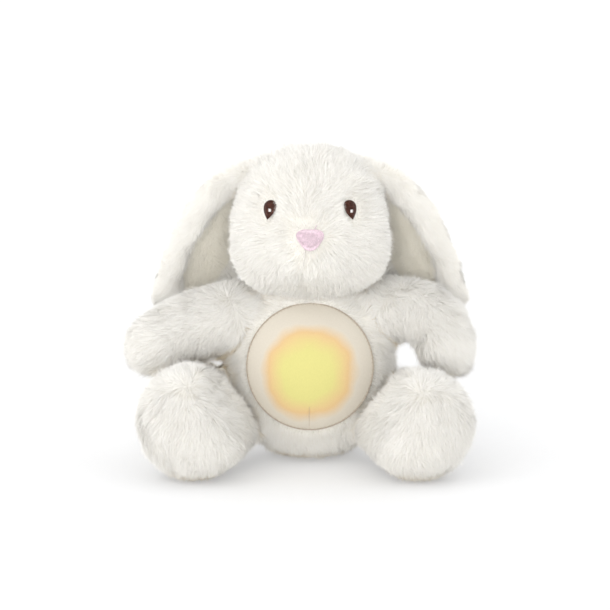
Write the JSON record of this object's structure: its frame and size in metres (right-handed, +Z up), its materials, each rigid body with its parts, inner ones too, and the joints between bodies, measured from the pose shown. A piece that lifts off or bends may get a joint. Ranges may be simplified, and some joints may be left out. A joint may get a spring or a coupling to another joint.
{
  "type": "plush rabbit night light",
  "caption": "Seated plush rabbit with floppy ears and a round belly window that is pressed to light up, with its battery box under a flap in the back.",
  "frame": {"origin": "middle of the flat seat under the body, on the floor", "axes": "+Z up, -Y the way the rabbit faces, +X to the right as seen from its front"},
  "size_m": [0.2598, 0.1862, 0.2385],
  "materials": {
    "pile": "long soft fur",
    "ear_lining": "short plush",
    "window_cloth": "thin smooth cloth that lets light through",
    "eye_thread": "satin embroidery",
    "nose_thread": "satin embroidery",
    "closure_tape": "hook-and-loop tape",
    "white_plastic": "satin",
    "milky_plastic": "satin, lets light through",
    "green_board": "lacquered",
    "black_plastic": "fine texture",
    "amber_lamp": "clear",
    "bright_metal": "nickel plated",
    "cell_sleeve": "printed film, left plain",
    "red_sleeve": "satin"
  },
  "bodies": {
    "stuffed_body": {"battery_box": "black_plastic", "battery_door": "black_plastic", "belly_window": "window_cloth", "board_screw_1": "bright_metal", "board_screw_2": "bright_metal", "board_screw_3": "bright_metal", "cell_1": "cell_sleeve", "cell_2": "cell_sleeve", "cell_3": "cell_sleeve", "cell_spring_1": "bright_metal", "cell_spring_2": "bright_metal", "cell_spring_3": "bright_metal", "contact_plate_left": "bright_metal", "contact_plate_right": "bright_metal", "door_screw": "bright_metal", "head": "pile", "hook_strip": "closure_tape", "led_1": "amber_lamp", "led_2": "amber_lamp", "led_3": "amber_lamp", "led_4": "amber_lamp", "left_eye": "eye_thread", "light_bezel": "white_plastic", "light_board": "green_board", "light_shell": "white_plastic", "nose": "nose_thread", "power_lead": "red_sleeve", "right_eye": "eye_thread", "switch_body": "black_plastic", "tail": "pile", "torso": "pile"},
    "light_press": {"light_cap": "milky_plastic", "switch_plunger": "black_plastic"},
    "left_ear_body": {"left_ear": "pile", "left_ear_lining": "ear_lining"},
    "right_ear_body": {"right_ear": "pile", "right_ear_lining": "ear_lining"},
    "left_arm_body": {"left_arm": "pile"},
    "right_arm_body": {"right_arm": "pile"},
    "left_leg_body": {"left_leg": "pile"},
    "right_leg_body": {"right_leg": "pile"},
    "flap_body": {"back_flap": "pile", "loop_strip": "closure_tape"}
  },
  "joints": [
    {"name": "light_press", "type": "slide", "parent": "stuffed_body", "child": "light_press", "axis": [0, 0.9902, -0.14], "range_m": [0, 0.0012], "stiffness_N_per_m": 1600, "springref_m": -0.0006},
    {"name": "left_ear_lift", "type": "hinge", "parent": "stuffed_body", "child": "left_ear_body", "pos_m": [-0.0335, -0.006, 0.2285], "axis": [0, 1, 0], "range_deg": [0, 60]},
    {"name": "right_ear_lift", "type": "hinge", "parent": "stuffed_body", "child": "right_ear_body", "pos_m": [0.0335, -0.006, 0.2285], "axis": [0, -1, 0], "range_deg": [0, 60]},
    {"name": "left_arm_lift", "type": "hinge", "parent": "stuffed_body", "child": "left_arm_body", "pos_m": [-0.041, -0.002, 0.1365], "axis": [0, 1, 0], "range_deg": [0, 30]},
    {"name": "right_arm_lift", "type": "hinge", "parent": "stuffed_body", "child": "right_arm_body", "pos_m": [0.043, 0, 0.135], "axis": [0, -1, 0], "range_deg": [0, 20]},
    {"name": "left_leg_swing", "type": "hinge", "parent": "stuffed_body", "child": "left_leg_body", "pos_m": [-0.032, -0.05, 0.0432], "axis": [0, 0, 1], "range_deg": [0, 15]},
    {"name": "right_leg_swing", "type": "hinge", "parent": "stuffed_body", "child": "right_leg_body", "pos_m": [0.029, -0.052, 0.04102], "axis": [0, 0, -1], "range_deg": [0, 15]},
    {"name": "flap_hinge", "type": "hinge", "parent": "stuffed_body", "child": "flap_body", "pos_m": [0, 0.04486, 0.106], "axis": [1, 0, 0], "range_deg": [0, 110]}
  ]
}
